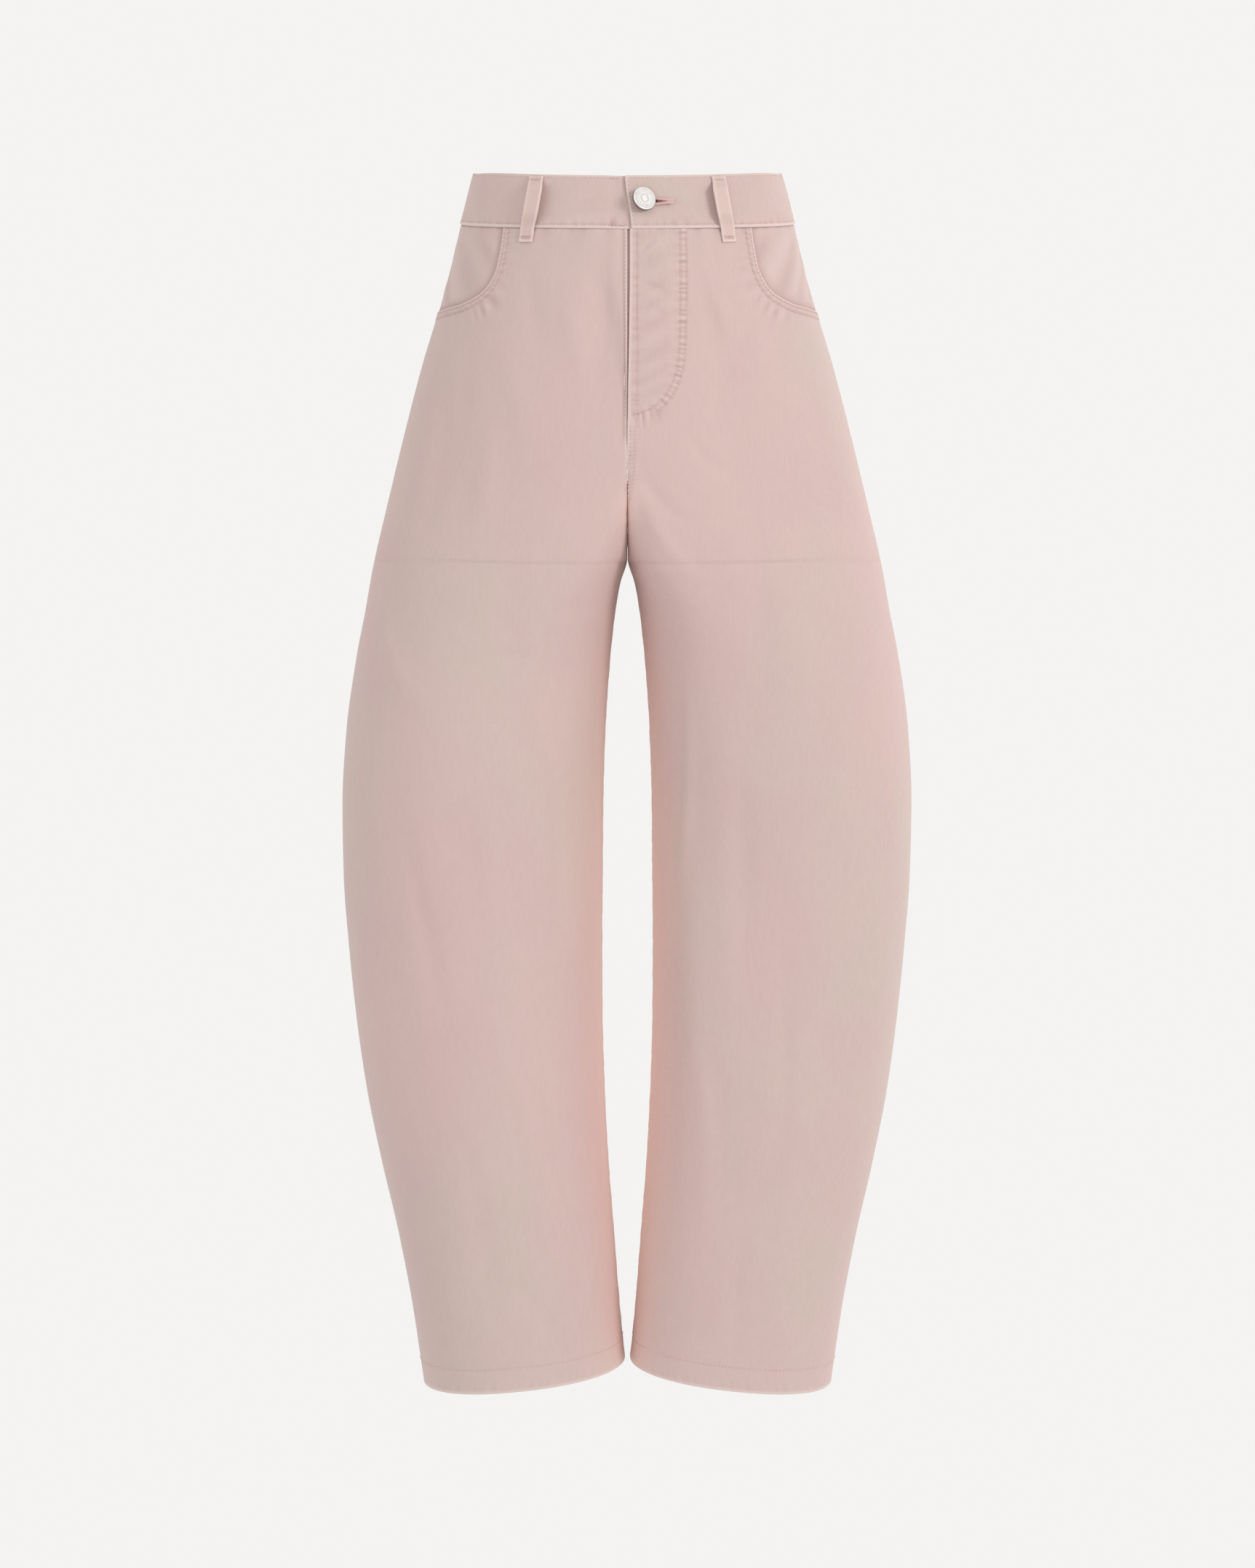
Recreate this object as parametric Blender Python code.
"""Barrel leg trousers, worn shape with no wearer, for Blender 4.5.

The cloth is worked out as one surface that is named by two numbers. The place s runs round
one half of the garment: 0 at the centre front or inseam, 1 at the side seam, 2 at the centre
back or inseam. The level t is the drop below the waistband's top edge at the side, in mm.
Every piece is a wall between two offsets from that surface. The origin is the centre of the
waist at the middle of the waistband's height, +Z is up, and the front faces -Y.
"""

import math

import bpy
import numpy as np
from mathutils import Matrix, Vector

MM = 0.001

# Driving sizes, in mm
TOP_ABOVE_ORIGIN = 23.4
BAND_HEIGHT = 46.8
CROTCH_DROP = 329.0
HEM_DROP = 1029.0
FLY_DROP = 209.0
INSEAM_Y = 8.0
CLOTH = 1.5
BAND_CLOTH = 2.6
SEAM_GAP = 0.3
LAYER_GAP = 0.7
HALF_GAP = SEAM_GAP / 2

# Rings of the body and legs, in mm: the half width and the half gap between the legs at that
# drop, how far the front and back stand from the side seams, and the squareness of the
# outer and inner corners, where 2 is an ellipse.
RING_COLUMNS = ("drop", "outer", "inner", "front", "back", "round_out", "round_in")
RINGS = (
    (0, 129.4, 0.00, 93, 97, 2.2, 2.2),
    (48, 141.2, 0.00, 102, 107, 2.2, 2.2),
    (103, 155.0, 0.00, 107, 117, 2.2, 2.2),
    (164, 173.7, 0.00, 109, 123, 2.2, 2.2),
    (226, 190.1, 0.00, 110, 123, 2.2, 2.2),
    (288, 205.3, 0.00, 110, 117, 2.2, 2.6),
    (329, 215.0, 0.15, 109, 111, 2.2, 3.0),
    (350, 219.2, 6.02, 108, 108, 2.2, 3.0),
    (369, 222.4, 9.48, 107, 106, 2.2, 2.8),
    (412, 230.8, 14.43, 105, 103, 2.2, 2.5),
    (474, 239.4, 18.69, 102, 99, 2.2, 2.4),
    (536, 242.7, 20.66, 99, 96, 2.2, 2.2),
    (598, 241.6, 21.19, 96, 94, 2.2, 2.2),
    (660, 237.2, 21.65, 93, 92, 2.2, 2.2),
    (722, 231.2, 21.35, 89, 90, 2.2, 2.2),
    (784, 223.0, 19.59, 85, 88, 2.2, 2.2),
    (846, 211.2, 16.40, 81, 85, 2.2, 2.2),
    (908, 197.4, 11.70, 76, 82, 2.2, 2.2),
    (970, 185.8, 6.97, 72, 79, 2.2, 2.2),
    (1036, 176.2, 0.54, 68, 76, 2.2, 2.2),
)

# How far each ring leans down in front and up at the back, as slopes in Y from the side seam,
# and how far the hem rises to the inseam and falls to the side, in mm.
LEAN_COLUMNS = ("drop", "front_lean", "back_lean", "hem_rise")
LEANS = (
    (0, 0.150, 0.000, 0.0),
    (48, 0.112, 0.020, 0.0),
    (152, 0.080, 0.050, 0.0),
    (332, 0.030, 0.030, 0.0),
    (522, 0.000, 0.000, 0.0),
    (762, 0.000, 0.000, 1.0),
    (902, 0.015, 0.020, 5.5),
    (1030, 0.045, 0.060, 9.5),
    (1047, 0.050, 0.065, 10.3),
)
LEAN_BLEND = 60.0
SIDE_DIP = 4.0
SIDE_DIP_FADE = 14.0
SIDE_DIP_POWER = 12

# The rise seam leaves the surface as a valley at the drop "start" and curves to the crotch,
# while the crest of each half moves out from the centre to the middle of its leg.
FRONT_RISE = {"start": 216.0, "bend": 2.5, "crest_start": 190.0}
BACK_RISE = {"start": 214.0, "bend": 2.2, "crest_start": 170.0}
CREST_END = 450.0
VALLEY_FADE_END = 372.0
VALLEY_FADE_BEND = 1.5
VALLEY_REACH = 10.0

# Soft folds on each side, 1 for the wearer's left and -1 for the right: where the middle lies,
# how far it drifts in s to its lower end, its ends, its half width in s and its height in mm.
FOLD_COLUMNS = ("side", "s", "drift", "top", "bottom", "half_width", "height")
FOLDS = (
    (-1, 0.70, 0.02, 302, 902, 0.13, -3.6),
    (-1, 0.93, 0.00, 432, 882, 0.10, 1.8),
    (-1, 0.42, 0.06, 422, 962, 0.16, 2.0),
    (-1, 0.09, 0.02, 54, 237, 0.085, -3.2),
    (-1, 0.50, -0.22, 112, 262, 0.09, 1.6),
    (-1, 0.62, -0.06, 132, 302, 0.08, -2.0),
    (1, 0.40, 0.05, 252, 902, 0.13, -3.2),
    (1, 0.20, 0.10, 382, 962, 0.07, 2.2),
    (1, 0.74, 0.00, 282, 862, 0.15, 2.0),
    (1, 0.42, 0.12, 62, 232, 0.08, 1.8),
    (1, 0.30, 0.04, 112, 272, 0.09, -1.8),
    (-1, 1.35, 0.05, 262, 762, 0.12, -3.4),
    (-1, 1.62, 0.00, 302, 702, 0.10, 2.2),
    (-1, 1.45, 0.05, 642, 982, 0.12, 1.8),
    (1, 1.38, 0.03, 282, 802, 0.12, -3.0),
    (1, 1.65, -0.05, 292, 722, 0.09, 2.4),
    (1, 1.50, 0.04, 622, 972, 0.13, 1.8),
)
FOLD_EDGE = 0.09
FOLD_WIDTH_DROP = 345.0

# Mouth of the scooped front pocket: half width and drop of points on its edge, in mm, and
# then the place s and drop of the points where it turns round to the side seam.
POCKET_MOUTH = (
    (102.5, 47.1),
    (104.5, 62.0),
    (107.5, 78.0),
    (112.5, 91.0),
    (120.5, 101.5),
    (131.0, 108.5),
    (140.0, 112.8),
)
POCKET_TURN = (
    (0.780, 115.4),
    (0.845, 117.6),
    (0.900, 119.2),
    (0.950, 120.3),
)
POCKET_SIDE_DROP = 121.0
POCKET_LAYER_GAP = 1.1
POCKET_UNDERLAP = 12.0

# How far the piece behind the pocket runs on under each point of the mouth, in X and down
FACING_SHIFT = (
    (-12.0, 0.0),
    (-12.0, 0.0),
    (-12.0, 0.0),
    (-9.6, 7.2),
    (-9.6, 7.2),
    (-3.6, 12.0),
    (-3.6, 12.0),
)

# Fly, in mm
FLY_OPEN = 2.3
FLY_SHIELD_RIGHT = 9.0
FLY_SHIELD_LEFT = 36.0
FLY_SHIELD_ROUNDING = 30.0
FLY_OPEN_FADE = 40.0

# The folded hem, in mm: its depth, the wall it adds, and the step down to the single cloth
HEM_TURN = 26.0
HEM_EXTRA = 0.8
HEM_STEP = 6.0

# Waistband ends, in mm: the left end lies over the right, which runs on under it.
BAND_PROUD = 0.9
OVER_END_TOP = 2.0
OVER_END_BOTTOM = -3.0
UNDERLAP_START = 20.0
HALF_BAND_COLUMNS = 26

# X of the columns at each front end, before they go on evenly to the back
OVER_END_X = (0.0, 6.0, 12.0, 20.0, 28.0, 36.0)
UNDER_END_X = (34.0, 24.0, 16.0, 10.0, 4.0, -2.0, -5.0, -9.0, -13.0, -17.0, -20.0, -28.0)

# Button, in mm, from the front of the cloth outwards
BUTTON_X = 12.0
BUTTON_DROP = 23.0
CAP_RADIUS = 10.0
CAP_THICK = 3.0
CAP_RIM = 1.4
CAP_RECESS = 0.35
DIMPLE_RADIUS = 2.4
SHANK_RADIUS = 2.2
TACK_RADIUS = 4.5
TACK_THICK = 1.0
HOLE_CLEARANCE = 0.4
BUTTONHOLE_LENGTH = 24.0
BUTTONHOLE_WIDTH = 1.4

# Belt loops: the side, 1 for the wearer's left, whether they are behind the side seam, and the
# half width of their place at the top and bottom, in mm, with the centre back loop at 0.
LOOP_COLUMNS = ("name", "side", "back", "x_top", "x_bottom")
LOOPS = (
    ("belt_loop_front_left", 1, False, 74.0, 83.5),
    ("belt_loop_front_right", -1, False, 74.0, 83.5),
    ("belt_loop_back_left", 1, True, 82.0, 90.0),
    ("belt_loop_back_right", -1, True, 82.0, 90.0),
    ("belt_loop_back_centre", 1, True, 0.0, 0.0),
)
LOOP_WIDTH = 12.5
LOOP_THICK = 1.8
LOOP_LEVELS = (2, 5.6, 9.2, 12.8, 16.4, 20, 27, 33, 38, 41, 44.6, 48.2, 51.8, 55.4, 59)
LOOP_TOP = LOOP_LEVELS[0]
LOOP_BOTTOM = LOOP_LEVELS[-1]
LOOP_ROOM = 7.6
LOOP_RISE = 9.0

CLOTH_COLOR = (0.72, 0.55, 0.52, 1.0)
METAL_COLOR = (0.80, 0.80, 0.79, 1.0)


def column(columns, rows, name):
    place = columns.index(name)
    return np.array([row[place] for row in rows], float)


def smooth_curve(x, y, at):
    """A smooth curve through the points, with no overshoot past a flat stretch."""
    step = np.diff(x)
    slope = np.diff(y) / step
    tangent = np.zeros(len(x))
    tangent[0], tangent[-1] = slope[0], slope[-1]
    for i in range(1, len(x) - 1):
        if slope[i - 1] * slope[i] > 0:
            weight = 2 * step[i] + step[i - 1], step[i] + 2 * step[i - 1]
            tangent[i] = sum(weight) / (weight[0] / slope[i - 1] + weight[1] / slope[i])
    at = np.clip(at, x[0], x[-1])
    i = np.clip(np.searchsorted(x, at, "right") - 1, 0, len(x) - 2)
    h = step[i]
    u = (at - x[i]) / h
    return (
        y[i] * (1 + 2 * u) * (1 - u) ** 2
        + y[i + 1] * u * u * (3 - 2 * u)
        + tangent[i] * h * u * (1 - u) ** 2
        - tangent[i + 1] * h * u * u * (1 - u)
    )


def ring_value(name, drop):
    drops = column(RING_COLUMNS, RINGS, "drop")
    return smooth_curve(drops, column(RING_COLUMNS, RINGS, name), drop)


def lean_value(name, drop):
    drops = column(LEAN_COLUMNS, LEANS, "drop")
    return smooth_curve(drops, column(LEAN_COLUMNS, LEANS, name), drop)


def ease(u):
    u = np.clip(u, 0, 1)
    return u * u * (3 - 2 * u)


def rise_share(rise, drop):
    """How far down the rise seam has come, from 0 at its start to 1 at the crotch."""
    return np.clip((drop - rise["start"]) / (CROTCH_DROP - rise["start"]), 0, 1)


def half_outline(drop, reach, rise):
    """Points of one half ring from the centre or inseam to the side, with Y away from the side."""
    outer = ring_value("outer", drop + lean_value("hem_rise", drop))
    inner = max(ring_value("inner", drop - lean_value("hem_rise", drop)), HALF_GAP)
    share = rise_share(rise, drop)
    valley = 1 - (1 - share ** rise["bend"]) ** (1 / rise["bend"])
    moved = ease((drop - rise["crest_start"]) / (CREST_END - rise["crest_start"]))
    crest = inner + (outer - inner) / 2 * moved
    spread = np.clip((drop - rise["start"]) / (VALLEY_FADE_END - rise["start"]), 0, 1)
    soft_valley = ease(spread**VALLEY_FADE_BEND)
    quarter = np.radians(np.linspace(0, 90, 46))
    power_in = 2 / ring_value("round_in", drop)
    power_out = 2 / ring_value("round_out", drop)
    cos, sin = np.cos(quarter).clip(0), np.sin(quarter)
    x = np.concatenate(
        [crest - (crest - inner) * cos**power_in, crest + (outer - crest) * sin[1:] ** power_out]
    )
    near = np.exp(-np.square((x[: len(quarter)] - inner) / VALLEY_REACH))
    hollow = valley * near + soft_valley * (1 - near)
    y = np.concatenate([reach * (1 - hollow * (1 - sin**power_in)), reach * cos[1:] ** power_out])
    return x, y


def even_places(x, y, count):
    """The outline's points at even steps along it."""
    along = np.concatenate([[0], np.cumsum(np.hypot(np.diff(x), np.diff(y)) + 1e-9)])
    wanted = np.linspace(0, along[-1], count)
    return np.interp(wanted, along, x), np.interp(wanted, along, y)


# Levels of the lattice: close together just above the crotch, where the rise turns to run back
LATTICE_TURN = 1 - (1 - np.linspace(0, 0.5, 40) ** FRONT_RISE["bend"]) ** (1 / FRONT_RISE["bend"])
LATTICE_NEAR = CROTCH_DROP - (CROTCH_DROP - FRONT_RISE["start"]) * LATTICE_TURN
LATTICE_T = np.unique(np.concatenate([np.arange(-4.0, 1044.0, 1.0), LATTICE_NEAR]))
LATTICE_S = np.linspace(0, 2, 241)


def build_lattice():
    """X and Y of the cloth at every lattice level and place, for the half at +X."""
    half = len(LATTICE_S) // 2 + 1
    found = np.zeros((len(LATTICE_T), len(LATTICE_S), 2))
    for i, drop in enumerate(LATTICE_T):
        front = ring_value("front", drop) + INSEAM_Y
        back = ring_value("back", drop) - INSEAM_Y
        fx, fy = even_places(*half_outline(drop, front, FRONT_RISE), half)
        bx, by = even_places(*half_outline(drop, back, BACK_RISE), half)
        found[i, :half] = np.stack([fx, INSEAM_Y - fy], 1)
        found[i, half - 1 :] = np.stack([bx, INSEAM_Y + by], 1)[::-1]
    return found


LATTICE = build_lattice()
LATTICE_STEPS = np.linalg.norm(np.diff(LATTICE, axis=1), axis=-1)
FRONT_ARC = LATTICE_STEPS[:, : len(LATTICE_S) // 2].sum(1)
BACK_ARC = LATTICE_STEPS[:, len(LATTICE_S) // 2 :].sum(1)


def lattice_point(s, t):
    """X and Y between the lattice's points."""
    s = np.clip(s, 0, 2)
    t = np.clip(t, LATTICE_T[0], LATTICE_T[-1])
    v = s / (LATTICE_S[1] - LATTICE_S[0])
    i = np.clip(np.searchsorted(LATTICE_T, t, "right") - 1, 0, len(LATTICE_T) - 2)
    j = np.clip(v.astype(int), 0, len(LATTICE_S) - 2)
    u = ((t - LATTICE_T[i]) / (LATTICE_T[i + 1] - LATTICE_T[i]))[..., None]
    v = (v - j)[..., None]
    low = LATTICE[i, j] * (1 - v) + LATTICE[i, j + 1] * v
    high = LATTICE[i + 1, j] * (1 - v) + LATTICE[i + 1, j + 1] * v
    return low * (1 - u) + high * u


def side_distance(s, width_at):
    """How far s lies from the side seam along the cloth, in mm, by the cloth's width at a drop."""
    front = np.interp(width_at, LATTICE_T, FRONT_ARC)
    back = np.interp(width_at, LATTICE_T, BACK_ARC)
    return (s - 1) * np.where(s < 1, front, back)


def same_distance(s, t, other):
    """The place at another level that lies as far from the side seam as s does at t."""
    front = np.interp(t, LATTICE_T, FRONT_ARC) / np.interp(other, LATTICE_T, FRONT_ARC)
    back = np.interp(t, LATTICE_T, BACK_ARC) / np.interp(other, LATTICE_T, BACK_ARC)
    return 1 + (s - 1) * np.where(s < 1, front, back)


def fold_height(side, s, t):
    """Height of the folds above the plain surface, in mm.

    The cloth is suddenly wider below the crotch, so a fold that runs past it keeps the leg's
    width above it too.
    """
    height = np.zeros(np.broadcast(s, t).shape)
    here = side_distance(s, t)
    for row in FOLDS:
        fold = dict(zip(FOLD_COLUMNS, row))
        if fold["side"] != side:
            continue
        along = (t - fold["top"]) / (fold["bottom"] - fold["top"])
        middle = fold["s"] + fold["drift"] * np.clip(along, 0, 1)
        width_at = np.maximum(t, FOLD_WIDTH_DROP) if fold["bottom"] > CROTCH_DROP else t
        edge = side_distance(middle + fold["half_width"], width_at)
        middle = side_distance(middle, width_at)
        across = (here - middle) / (edge - middle)
        window = np.sin(np.pi * np.clip(along, 0, 1)) ** 1.2
        height += fold["height"] * window * np.exp(-2 * across**2)
    return height * ease(s / FOLD_EDGE) * ease((2 - s) / FOLD_EDGE)


def plain_point(side, s, t):
    """The surface at s and t as X, Y and Z in mm, with its folds."""
    here = lattice_point(s, t)
    step = 0.006
    along = lattice_point(s + step, t) - lattice_point(s - step, t)
    length = np.maximum(np.hypot(along[..., 0], along[..., 1]), 1e-6)
    out = np.stack([along[..., 1] / length, -along[..., 0] / length], -1)
    here = here + out * fold_height(side, s, t)[..., None]
    x, y = np.maximum(here[..., 0], HALF_GAP), here[..., 1]
    outer = ring_value("outer", t)
    middle = (outer + ring_value("inner", t)) / 2
    behind = ease((y - INSEAM_Y) / LEAN_BLEND + 0.5)
    lean = lean_value("front_lean", t) * (1 - behind) + lean_value("back_lean", t) * behind
    slant = lean_value("hem_rise", t) * np.clip((x - middle) / (outer - middle), -1, 1)
    dip = SIDE_DIP * np.exp(-np.clip(t, 0, None) / SIDE_DIP_FADE) * (x / outer) ** SIDE_DIP_POWER
    z = TOP_ABOVE_ORIGIN - t + lean * (y - INSEAM_Y) - slant - dip
    return np.stack([side * x, y, z], -1)


def cloth_point(side, s, t, out):
    """The point that stands out mm off the surface, along its normal."""
    ds, dt = 0.008, 2.0
    along = plain_point(side, s + ds, t) - plain_point(side, s - ds, t)
    down = plain_point(side, same_distance(s, t, t + dt), t + dt)
    down = down - plain_point(side, same_distance(s, t, t - dt), t - dt)
    normal = side * np.cross(down, along)
    normal /= np.maximum(np.linalg.norm(normal, axis=-1, keepdims=True), 1e-9)
    return plain_point(side, s, t) + normal * np.asarray(out)[..., None]


def signed_point(place, t, out):
    """As cloth_point, with place below 0 on the wearer's right and above 0 on the left."""
    left = cloth_point(1, np.abs(place), t, out)
    right = cloth_point(-1, np.abs(place), t, out)
    return np.where((place < 0)[..., None], right, left)


def place_at(x, t, back=False):
    """The s at which the plain surface has this half width."""
    x, t = np.broadcast_arrays(np.asarray(x, float), np.asarray(t, float))
    found = np.zeros(x.shape)
    for index in np.ndindex(x.shape):
        s = LATTICE_S[LATTICE_S >= 1] if back else LATTICE_S[LATTICE_S <= 1]
        widths = lattice_point(s, np.full(s.shape, t[index]))[:, 0]
        order = np.argsort(widths)
        found[index] = np.interp(x[index], widths[order], s[order])
    return found


def signed_place_at(x, t):
    """The signed place at which the front has this X, below 0 on the wearer's right."""
    x = np.asarray(x, float)
    return place_at(np.abs(x), t) * np.where(x < 0, -1.0, 1.0)


def material(name, color, roughness, metallic):
    made = bpy.data.materials.new(name)
    made.use_nodes = True
    shader = made.node_tree.nodes["Principled BSDF"]
    shader.inputs["Base Color"].default_value = color
    shader.inputs["Roughness"].default_value = roughness
    shader.inputs["Metallic"].default_value = metallic
    return made


def add_object(name, points, faces, surface_material):
    mesh = bpy.data.meshes.new(name)
    mesh.from_pydata([tuple(p) for p in points], [], faces)
    mesh.materials.append(surface_material)
    mesh.shade_smooth()
    mesh.set_sharp_from_angle(angle=math.radians(50))
    made = bpy.data.objects.new(name, mesh)
    bpy.context.scene.collection.objects.link(made)
    return made


def wall(name, outer, inner, surface_material):
    """A closed wall between two grids of points in mm, rows by columns."""
    rows, columns = outer.shape[:2]
    points = np.concatenate([outer.reshape(-1, 3), inner.reshape(-1, 3)]) * MM
    back = rows * columns

    def strip(a, b, c, d):
        return [(a, b, c), (a, c, d)]

    faces = []
    for i in range(rows - 1):
        for j in range(columns - 1):
            a, b = i * columns + j, i * columns + j + 1
            c, d = b + columns, a + columns
            faces += strip(a, b, c, d)
            faces += [tuple(back + k for k in face[::-1]) for face in strip(a, b, c, d)]
    rim = [j for j in range(columns)]
    rim += [i * columns + columns - 1 for i in range(1, rows)]
    rim += [(rows - 1) * columns + j for j in range(columns - 2, -1, -1)]
    rim += [i * columns for i in range(rows - 2, 0, -1)]
    for a, b in zip(rim, rim[1:] + rim[:1]):
        faces += strip(b, a, back + a, back + b)
    made = add_object(name, points, faces, surface_material)
    a, b, c = (np.array(made.data.vertices[k].co) for k in made.data.polygons[0].vertices)
    if np.dot(np.cross(b - a, c - a), points[0] - points[back]) < 0:
        made.data.flip_normals()
    return made


def rows_between(start, end, count, crowd=1.0):
    """A grid whose rows run from the start points to the end points, each (s, t)."""
    across = np.linspace(0, 1, count)[None, :, None] ** crowd
    return np.array(start)[:, None, :] * (1 - across) + np.array(end)[:, None, :] * across


def hem_thickness(t):
    """The wall's thickness, which is more over the folded hem."""
    return CLOTH + HEM_EXTRA * ease((t - (HEM_DROP - HEM_TURN)) / HEM_STEP)


def panel(name, side, grid, surface_material):
    s, t = grid[..., 0], grid[..., 1]
    outer = cloth_point(side, s, t, np.zeros(s.shape))
    inner = cloth_point(side, s, t, -hem_thickness(t))
    inner[..., 0] = side * np.maximum(side * inner[..., 0], HALF_GAP)
    return wall(name, outer, inner, surface_material)


def edge_place(t, gap, back=False):
    """The s that lies gap mm of arc in from the centre or inseam."""
    share = gap / np.interp(t, LATTICE_T, BACK_ARC if back else FRONT_ARC)
    return 2 - share if back else share


def side_seam(t, back=False):
    """The s at which a panel ends at the side seam."""
    share = edge_place(np.array(t, float), HALF_GAP)
    return 1 + share if back else 1 - share


def rise_levels(rise, count):
    """Drops down the rise seam, closer together where it turns to run back."""
    angle = np.radians(np.linspace(0, 90, count + 1))[1:]
    return rise["start"] + (CROTCH_DROP - rise["start"]) * np.sin(angle) ** (2 / rise["bend"])


LEG_LEVELS = (338, 352, 370, 396, 428, 472, 520, 570, 622, 676, 732, 790, 846, 898, 944, 978, 998)


def leg_levels():
    return [*LEG_LEVELS, HEM_DROP]


def front_panel(name, side, surface_material):
    """One front leg: centre front, rise and inseam on one edge, pocket mouth and side on the other."""
    mouth = [*((place_at(x, t).item(), t) for x, t in POCKET_MOUTH), *POCKET_TURN]
    top = BAND_HEIGHT + SEAM_GAP
    above = np.linspace(top, FLY_DROP, len(mouth) + 1)
    inner_t = [*above, *rise_levels(FRONT_RISE, 8), *leg_levels()]
    below_pocket = [*np.linspace(POCKET_SIDE_DROP, LEG_LEVELS[0], 10), *leg_levels()[1:]]
    outer = [*mouth, *zip(side_seam(below_pocket), below_pocket)]
    inner_t = np.array(inner_t)
    gap = np.full(inner_t.shape, HALF_GAP)
    if side > 0:
        gap += FLY_OPEN * ease((FLY_DROP - inner_t) / FLY_OPEN_FADE)
    inner = np.stack([edge_place(inner_t, gap), inner_t], 1)
    return panel(name, side, rows_between(inner, outer, 17, 1.15), surface_material)


def back_panel(name, side, surface_material):
    """One back leg, from the side seam to the centre back, rise and inseam."""
    top = BAND_HEIGHT + SEAM_GAP
    above = np.linspace(top, BACK_RISE["start"], 8)
    levels = np.array([*above, *rise_levels(BACK_RISE, 8), *leg_levels()])
    side_levels = np.array([*np.linspace(top, LEG_LEVELS[0], 17), *leg_levels()[1:]])
    outer = np.stack([side_seam(side_levels, True), side_levels], 1)
    inner = np.stack([edge_place(levels, np.full(levels.shape, HALF_GAP), True), levels], 1)
    return panel(name, side, rows_between(inner, outer, 17, 1.15), surface_material)


def pocket_facing(name, side, surface_material):
    """The piece behind the pocket mouth, which runs on under the front panel."""
    top = BAND_HEIGHT + SEAM_GAP
    mouth = [(x + dx, t + dt) for (x, t), (dx, dt) in zip(POCKET_MOUTH, FACING_SHIFT)]
    inner = [(place_at(x, t).item(), t) for x, t in mouth]
    inner += [(s - 0.01, t + POCKET_UNDERLAP) for s, t in POCKET_TURN]
    last = POCKET_SIDE_DROP + POCKET_UNDERLAP
    levels = np.linspace(top, last, len(inner))
    outer = list(zip(side_seam(levels), levels))
    grid = rows_between(inner, outer, 8)
    s, t = grid[..., 0], grid[..., 1]
    depth = CLOTH + POCKET_LAYER_GAP
    front = cloth_point(side, s, t, np.full(s.shape, -depth))
    back = cloth_point(side, s, t, np.full(s.shape, -depth - CLOTH))
    return wall(name, front, back, surface_material)


def fly_shield(surface_material):
    """The strip behind the fly opening, rounded at its lower end."""
    top = BAND_HEIGHT + SEAM_GAP
    rounded = FLY_DROP - FLY_SHIELD_ROUNDING
    levels = np.array([*np.linspace(top, rounded, 8), rounded + 12, rounded + 22, FLY_DROP])
    narrow = 1 - 0.85 * np.clip((levels - rounded) / FLY_SHIELD_ROUNDING, 0, 1) ** 2
    right = signed_place_at(-FLY_SHIELD_RIGHT * narrow, levels)
    left = signed_place_at(FLY_SHIELD_LEFT * narrow, levels)
    grid = rows_between(np.stack([right, levels], 1), np.stack([left, levels], 1), 7)
    place, t = grid[..., 0], grid[..., 1]
    depth = CLOTH + LAYER_GAP
    front = signed_point(place, t, np.full(place.shape, -depth))
    back = signed_point(place, t, np.full(place.shape, -depth - CLOTH))
    return wall("fly_shield", front, back, surface_material)


def waistband(name, side, front_places, tuck, surface_material):
    """Half of the waistband from its front end to the centre back, tucked in by tuck mm in front."""
    levels = np.linspace(0, BAND_HEIGHT, 5)
    count = len(front_places(levels[0]))
    back_end = 2 - edge_place(levels, np.full(levels.shape, HALF_GAP))
    rows = []
    for level, end in zip(levels, back_end):
        ahead = front_places(level)
        behind = side * np.linspace(abs(ahead[-1]), end, HALF_BAND_COLUMNS)[1:]
        rows.append(np.concatenate([ahead, behind]))
    place = np.array(rows)
    t = np.repeat(levels[:, None], place.shape[1], 1)
    depth = np.concatenate([tuck, np.zeros(place.shape[1] - count)])[None, :]
    outer = signed_point(place, t, BAND_PROUD - depth + np.zeros(place.shape))
    inner = signed_point(place, t, BAND_PROUD - BAND_CLOTH - depth + np.zeros(place.shape))
    return wall(name, outer, inner, surface_material)


def over_band(surface_material):
    """The wearer's left half, whose end lies over the other and carries the buttonhole."""
    x = np.array(OVER_END_X)

    def places(level):
        end = OVER_END_TOP + (OVER_END_BOTTOM - OVER_END_TOP) * ease(level / BAND_HEIGHT)
        shift = -end * (1 - x / x[-1])
        return signed_place_at(x + shift, np.full(x.shape, level))

    return waistband("waistband_left", 1, places, np.zeros(len(x)), surface_material)


def under_band(surface_material):
    """The wearer's right half, whose end runs on under the other and carries the button."""
    x = np.array(UNDER_END_X)
    below = (BAND_CLOTH + SEAM_GAP) * (1 - ease((-x - 2) / (UNDERLAP_START - 2)))

    def places(level):
        return signed_place_at(x, np.full(x.shape, level))

    return waistband("waistband_right", -1, places, below, surface_material)


def loop_offset(t):
    """How far a belt loop's inner face stands off the surface at this level."""
    on_band = BAND_PROUD + SEAM_GAP
    rise = ease((t - LOOP_TOP - 5) / LOOP_RISE)
    fall = ease((t - (BAND_HEIGHT - 6)) / LOOP_RISE)
    return on_band + LOOP_ROOM * rise * (1 - fall) - (on_band - SEAM_GAP) * ease((t - BAND_HEIGHT - 2) / 3)


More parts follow.
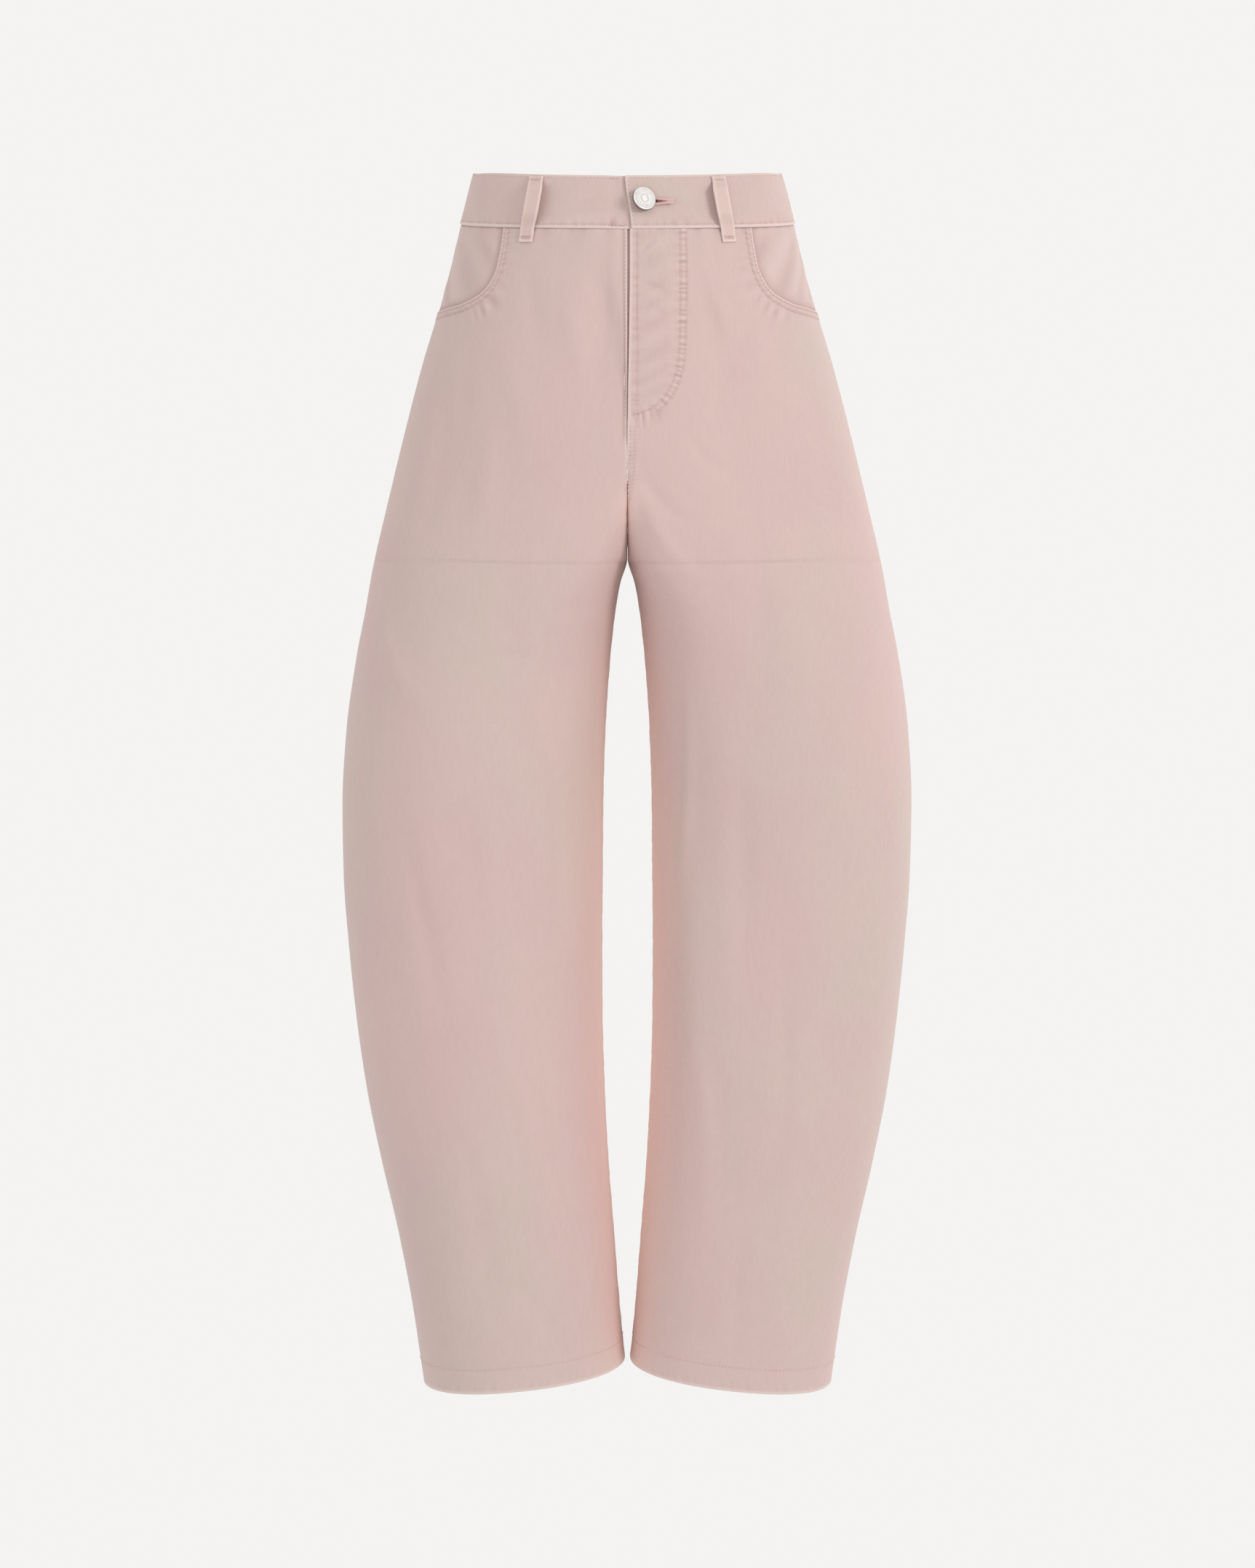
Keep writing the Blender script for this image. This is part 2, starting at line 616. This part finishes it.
def belt_loop(row, surface_material):
    """A strip that is sewn down at both ends and stands off the waistband between them."""
    loop = dict(zip(LOOP_COLUMNS, row))
    levels = np.array(LOOP_LEVELS, float)
    share = (levels - LOOP_TOP) / (LOOP_BOTTOM - LOOP_TOP)
    middle = loop["x_top"] + (loop["x_bottom"] - loop["x_top"]) * share
    centred = loop["x_top"] == 0
    middle_place = np.full(levels.shape, 2.0) if centred else place_at(middle, levels, loop["back"])
    per_mm = edge_place(levels, np.full(levels.shape, LOOP_WIDTH / 2))
    across = np.linspace(-1, 1, 5)[None, :] * per_mm[:, None]
    t = np.repeat(levels[:, None], across.shape[1], 1)
    inner_out = loop_offset(t)
    if centred:
        # Behind the centre back seam the strip's left half lies on the left panels.
        place = 2 - np.abs(across)
        sides = np.where(across < 0, -1.0, 1.0)

        def at(out):
            left = cloth_point(1, place, t, out)
            right = cloth_point(-1, place, t, out)
            points = np.where((sides < 0)[..., None], right, left)
            points[:, 2, 0] = 0.0
            return points

        return wall(loop["name"], at(inner_out + LOOP_THICK), at(inner_out), surface_material)
    place = middle_place[:, None] + across
    outer = cloth_point(loop["side"], place, t, inner_out + LOOP_THICK)
    inner = cloth_point(loop["side"], place, t, inner_out)
    return wall(loop["name"], outer, inner, surface_material)


def button_frame():
    """The button's place on the cloth and its outward axis, with X along the waist."""
    place = signed_place_at(np.array([BUTTON_X]), np.array([BUTTON_DROP]))
    level = np.array([BUTTON_DROP])
    at = signed_point(place, level, np.zeros(1))[0]
    out = signed_point(place, level, np.ones(1))[0] - at
    out = Vector(out).normalized()
    along = (Vector((1, 0, 0)) - out * out.x).normalized()
    turn = Matrix((along, out.cross(along), out)).transposed().to_4x4()
    return Matrix.Translation(Vector(at) * MM) @ turn


def button(surface_material):
    """A tack button: cap, shank through both waistband ends, and the tack's head inside."""
    under_face = BAND_PROUD - 2 * BAND_CLOTH - SEAM_GAP
    base = BAND_PROUD + 0.4
    top = base + CAP_THICK
    head = under_face - LAYER_GAP
    profile = [
        (0, head - TACK_THICK),
        (TACK_RADIUS - 0.3, head - TACK_THICK),
        (TACK_RADIUS, head - TACK_THICK + 0.3),
        (TACK_RADIUS, head),
        (SHANK_RADIUS, head),
        (SHANK_RADIUS, base),
        (CAP_RADIUS - 1.2, base),
        (CAP_RADIUS - 0.3, base + 0.4),
        (CAP_RADIUS, base + 1.1),
        (CAP_RADIUS - 0.1, top - 0.8),
        (CAP_RADIUS - 0.6, top - 0.2),
        (CAP_RADIUS - CAP_RIM + 0.3, top),
        (CAP_RADIUS - CAP_RIM - 0.4, top - CAP_RECESS),
        (DIMPLE_RADIUS + 0.4, top - CAP_RECESS),
        (DIMPLE_RADIUS, top - CAP_RECESS - 0.25),
        (0, top - CAP_RECESS - 0.3),
    ]
    turns = 28
    points = []
    rings = []
    for radius, height in profile:
        if radius == 0:
            rings.append([len(points)])
            points.append((0, 0, height * MM))
            continue
        rings.append(list(range(len(points), len(points) + turns)))
        for k in range(turns):
            angle = 2 * math.pi * k / turns
            points.append((radius * MM * math.cos(angle), radius * MM * math.sin(angle), height * MM))
    faces = []
    for low, high in zip(rings, rings[1:]):
        for k in range(turns):
            n = (k + 1) % turns
            if len(low) == 1:
                faces.append((low[0], high[n], high[k]))
            elif len(high) == 1:
                faces.append((low[k], low[n], high[0]))
            else:
                faces.append((low[k], low[n], high[n], high[k]))
    made = add_object("button", points, faces, surface_material)
    made.matrix_world = button_frame()
    return made


def prism(name, outline, low, high):
    """A closed upright prism used as a cutter, hidden from the render."""
    count = len(outline)
    points = [(x * MM, y * MM, z * MM) for z in (low, high) for x, y in outline]
    faces = [tuple(range(count))[::-1], tuple(range(count, 2 * count))]
    faces += [(k, (k + 1) % count, count + (k + 1) % count, count + k) for k in range(count)]
    mesh = bpy.data.meshes.new(name)
    mesh.from_pydata(points, [], faces)
    made = bpy.data.objects.new(name, mesh)
    bpy.context.scene.collection.objects.link(made)
    made.hide_render = True
    made.display_type = "WIRE"
    made.matrix_world = button_frame()
    return made


def cut(target, cutter):
    modifier = target.modifiers.new("cut " + cutter.name, "BOOLEAN")
    modifier.operation = "DIFFERENCE"
    modifier.solver = "EXACT"
    modifier.object = cutter


def arc(radius, start, end, count):
    angles = np.radians(np.linspace(start, end, count))
    return [(radius * math.cos(a), radius * math.sin(a)) for a in angles]


def cut_button_holes(over, under):
    """A keyhole buttonhole in the left end and a round hole for the shank in the right."""
    eye = SHANK_RADIUS + HOLE_CLEARANCE
    half = BUTTONHOLE_WIDTH / 2
    turn = math.degrees(math.asin(half / eye))
    keyhole = arc(eye, turn, 360 - turn, 15)
    keyhole += [(BUTTONHOLE_LENGTH, -half), (BUTTONHOLE_LENGTH, half)]
    cut(over, prism("buttonhole_cutter", keyhole, -2.0, 6.0))
    cut(under, prism("shank_cutter", arc(eye, 0, 345, 16), -8.0, 1.0))


def clear_scene():
    for obj in list(bpy.data.objects):
        bpy.data.objects.remove(obj)


def build():
    clear_scene()
    cloth = material("pink_cotton", CLOTH_COLOR, 0.85, 0.0)
    metal = material("button_metal", METAL_COLOR, 0.3, 1.0)
    for side, word in ((1, "left"), (-1, "right")):
        front_panel(f"front_{word}", side, cloth)
        back_panel(f"back_{word}", side, cloth)
        pocket_facing(f"pocket_facing_{word}", side, cloth)
    fly_shield(cloth)
    over = over_band(cloth)
    under = under_band(cloth)
    for row in LOOPS:
        belt_loop(row, cloth)
    button(metal)
    cut_button_holes(over, under)


build()
